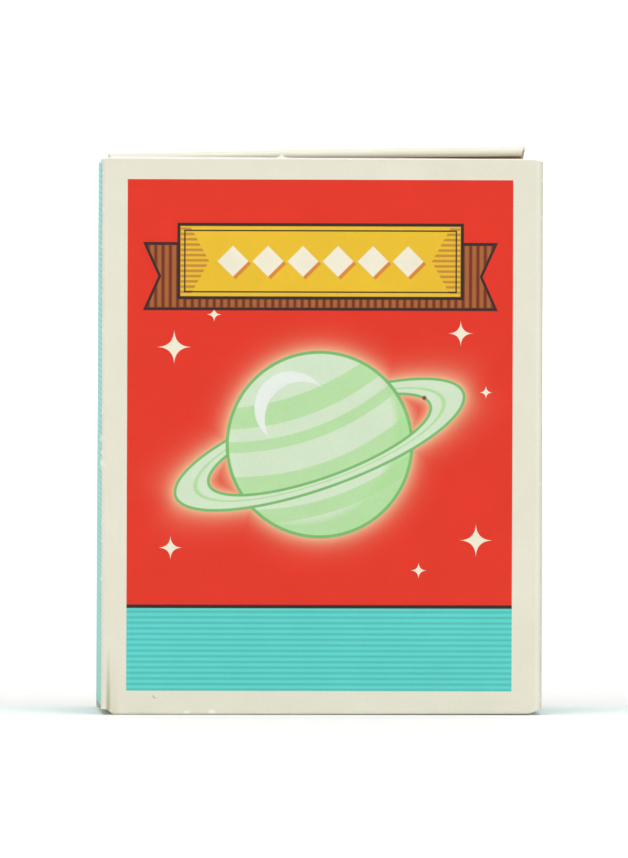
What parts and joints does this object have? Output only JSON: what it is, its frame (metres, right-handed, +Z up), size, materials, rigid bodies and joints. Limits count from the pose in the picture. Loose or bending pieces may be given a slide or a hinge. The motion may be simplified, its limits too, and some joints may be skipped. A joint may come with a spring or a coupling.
{
  "type": "reverse-tuck folding carton",
  "caption": "Small upright folding carton of printed card, with a hinged tuck lid, a tongue and dust flaps at each end.",
  "frame": {"origin": "middle of the base, on the surface that the carton stands on", "axes": "+Z up along the height, -Y out of the printed front panel, +X to the right as seen from the front"},
  "size_m": [0.0556, 0.025, 0.071],
  "materials": {
    "front_print": "satin",
    "side_print": "satin",
    "plain_card": "satin"
  },
  "bodies": {
    "sleeve": {"front_panel": "front_print", "back_panel": "plain_card", "left_panel": "side_print", "right_panel": "side_print", "glue_flap": "plain_card"},
    "top_lid": {"top_lid": "plain_card"},
    "top_tongue": {"top_tongue": "plain_card"},
    "top_dust_flap_left": {"top_dust_flap_left": "plain_card"},
    "top_dust_flap_right": {"top_dust_flap_right": "plain_card"},
    "bottom_lid": {"bottom_lid": "plain_card"},
    "bottom_tongue": {"bottom_tongue": "plain_card"},
    "bottom_dust_flap_left": {"bottom_dust_flap_left": "plain_card"},
    "bottom_dust_flap_right": {"bottom_dust_flap_right": "plain_card"}
  },
  "joints": [
    {"name": "top_lid_hinge", "type": "hinge", "parent": "sleeve", "child": "top_lid", "pos_m": [0, 0.01227, 0.06978], "axis": [-1, 0, 0], "range_deg": [-2.5, 177.5]},
    {"name": "top_tongue_hinge", "type": "hinge", "parent": "top_lid", "child": "top_tongue", "pos_m": [0, -0.0114, 0.07081], "axis": [-1, 0, 0], "range_deg": [-0.7, 45]},
    {"name": "top_dust_flap_left_hinge", "type": "hinge", "parent": "sleeve", "child": "top_dust_flap_left", "pos_m": [-0.02753, 0, 0.06907], "axis": [0, -1, 0], "range_deg": [-1.5, 90]},
    {"name": "top_dust_flap_right_hinge", "type": "hinge", "parent": "sleeve", "child": "top_dust_flap_right", "pos_m": [0.02753, 0, 0.06907], "axis": [0, 1, 0], "range_deg": [-1.5, 90]},
    {"name": "bottom_lid_hinge", "type": "hinge", "parent": "sleeve", "child": "bottom_lid", "pos_m": [0, -0.01227, 0.00022], "axis": [-1, 0, 0], "range_deg": [0, 180]},
    {"name": "bottom_tongue_hinge", "type": "hinge", "parent": "bottom_lid", "child": "bottom_tongue", "pos_m": [0, 0.01142, 0.00022], "axis": [-1, 0, 0], "range_deg": [0, 45]},
    {"name": "bottom_dust_flap_left_hinge", "type": "hinge", "parent": "sleeve", "child": "bottom_dust_flap_left", "pos_m": [-0.02753, 0, 0.00093], "axis": [0, 1, 0], "range_deg": [0, 90]},
    {"name": "bottom_dust_flap_right_hinge", "type": "hinge", "parent": "sleeve", "child": "bottom_dust_flap_right", "pos_m": [0.02753, 0, 0.00093], "axis": [0, -1, 0], "range_deg": [0, 90]}
  ],
  "couplings": [
    {"joint": "top_tongue_hinge", "follows": "top_lid_hinge", "ratio": 0.25},
    {"joint": "top_dust_flap_left_hinge", "follows": "top_lid_hinge", "ratio": 0.5},
    {"joint": "top_dust_flap_right_hinge", "follows": "top_lid_hinge", "ratio": 0.5},
    {"joint": "bottom_tongue_hinge", "follows": "bottom_lid_hinge", "ratio": 0.25},
    {"joint": "bottom_dust_flap_left_hinge", "follows": "bottom_lid_hinge", "ratio": 0.5},
    {"joint": "bottom_dust_flap_right_hinge", "follows": "bottom_lid_hinge", "ratio": 0.5}
  ]
}
